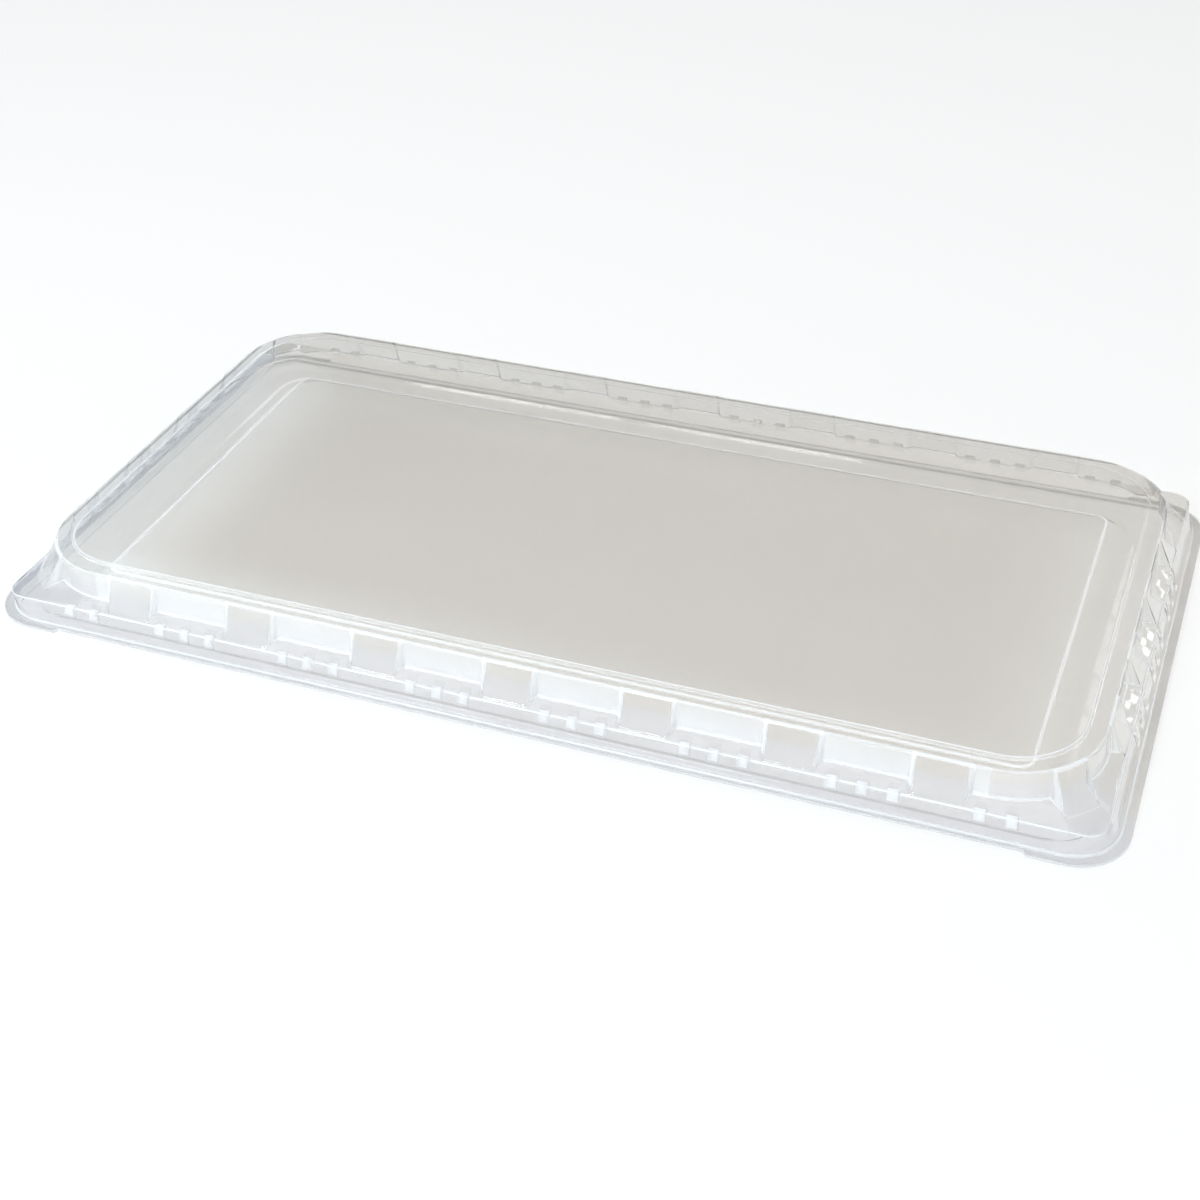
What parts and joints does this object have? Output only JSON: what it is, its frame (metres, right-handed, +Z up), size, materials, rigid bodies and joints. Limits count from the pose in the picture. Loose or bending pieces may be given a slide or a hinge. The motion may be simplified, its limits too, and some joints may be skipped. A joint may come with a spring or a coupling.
{
  "type": "humidity dome tray",
  "caption": "Low clear formed humidity dome with pillared walls and corner lift tabs, resting on a clear shallow base tray with a raised platform and a gutter.",
  "frame": {"origin": "centre of the footprint on the surface that the tray stands on", "axes": "+X along the length, +Y across the width, +Z up"},
  "size_m": [0.552, 0.292, 0.031],
  "materials": {
    "tray_clear": "clear, slightly dull formed sheet",
    "dome_clear": "clear, glossy formed sheet"
  },
  "bodies": {
    "base_tray": {"base_tray": "tray_clear"},
    "dome": {"dome": "dome_clear"}
  },
  "joints": [
    {"name": "dome_lift", "type": "slide", "parent": "base_tray", "child": "dome", "axis": [0, 0, 1], "range_m": [0, 0.06]}
  ]
}
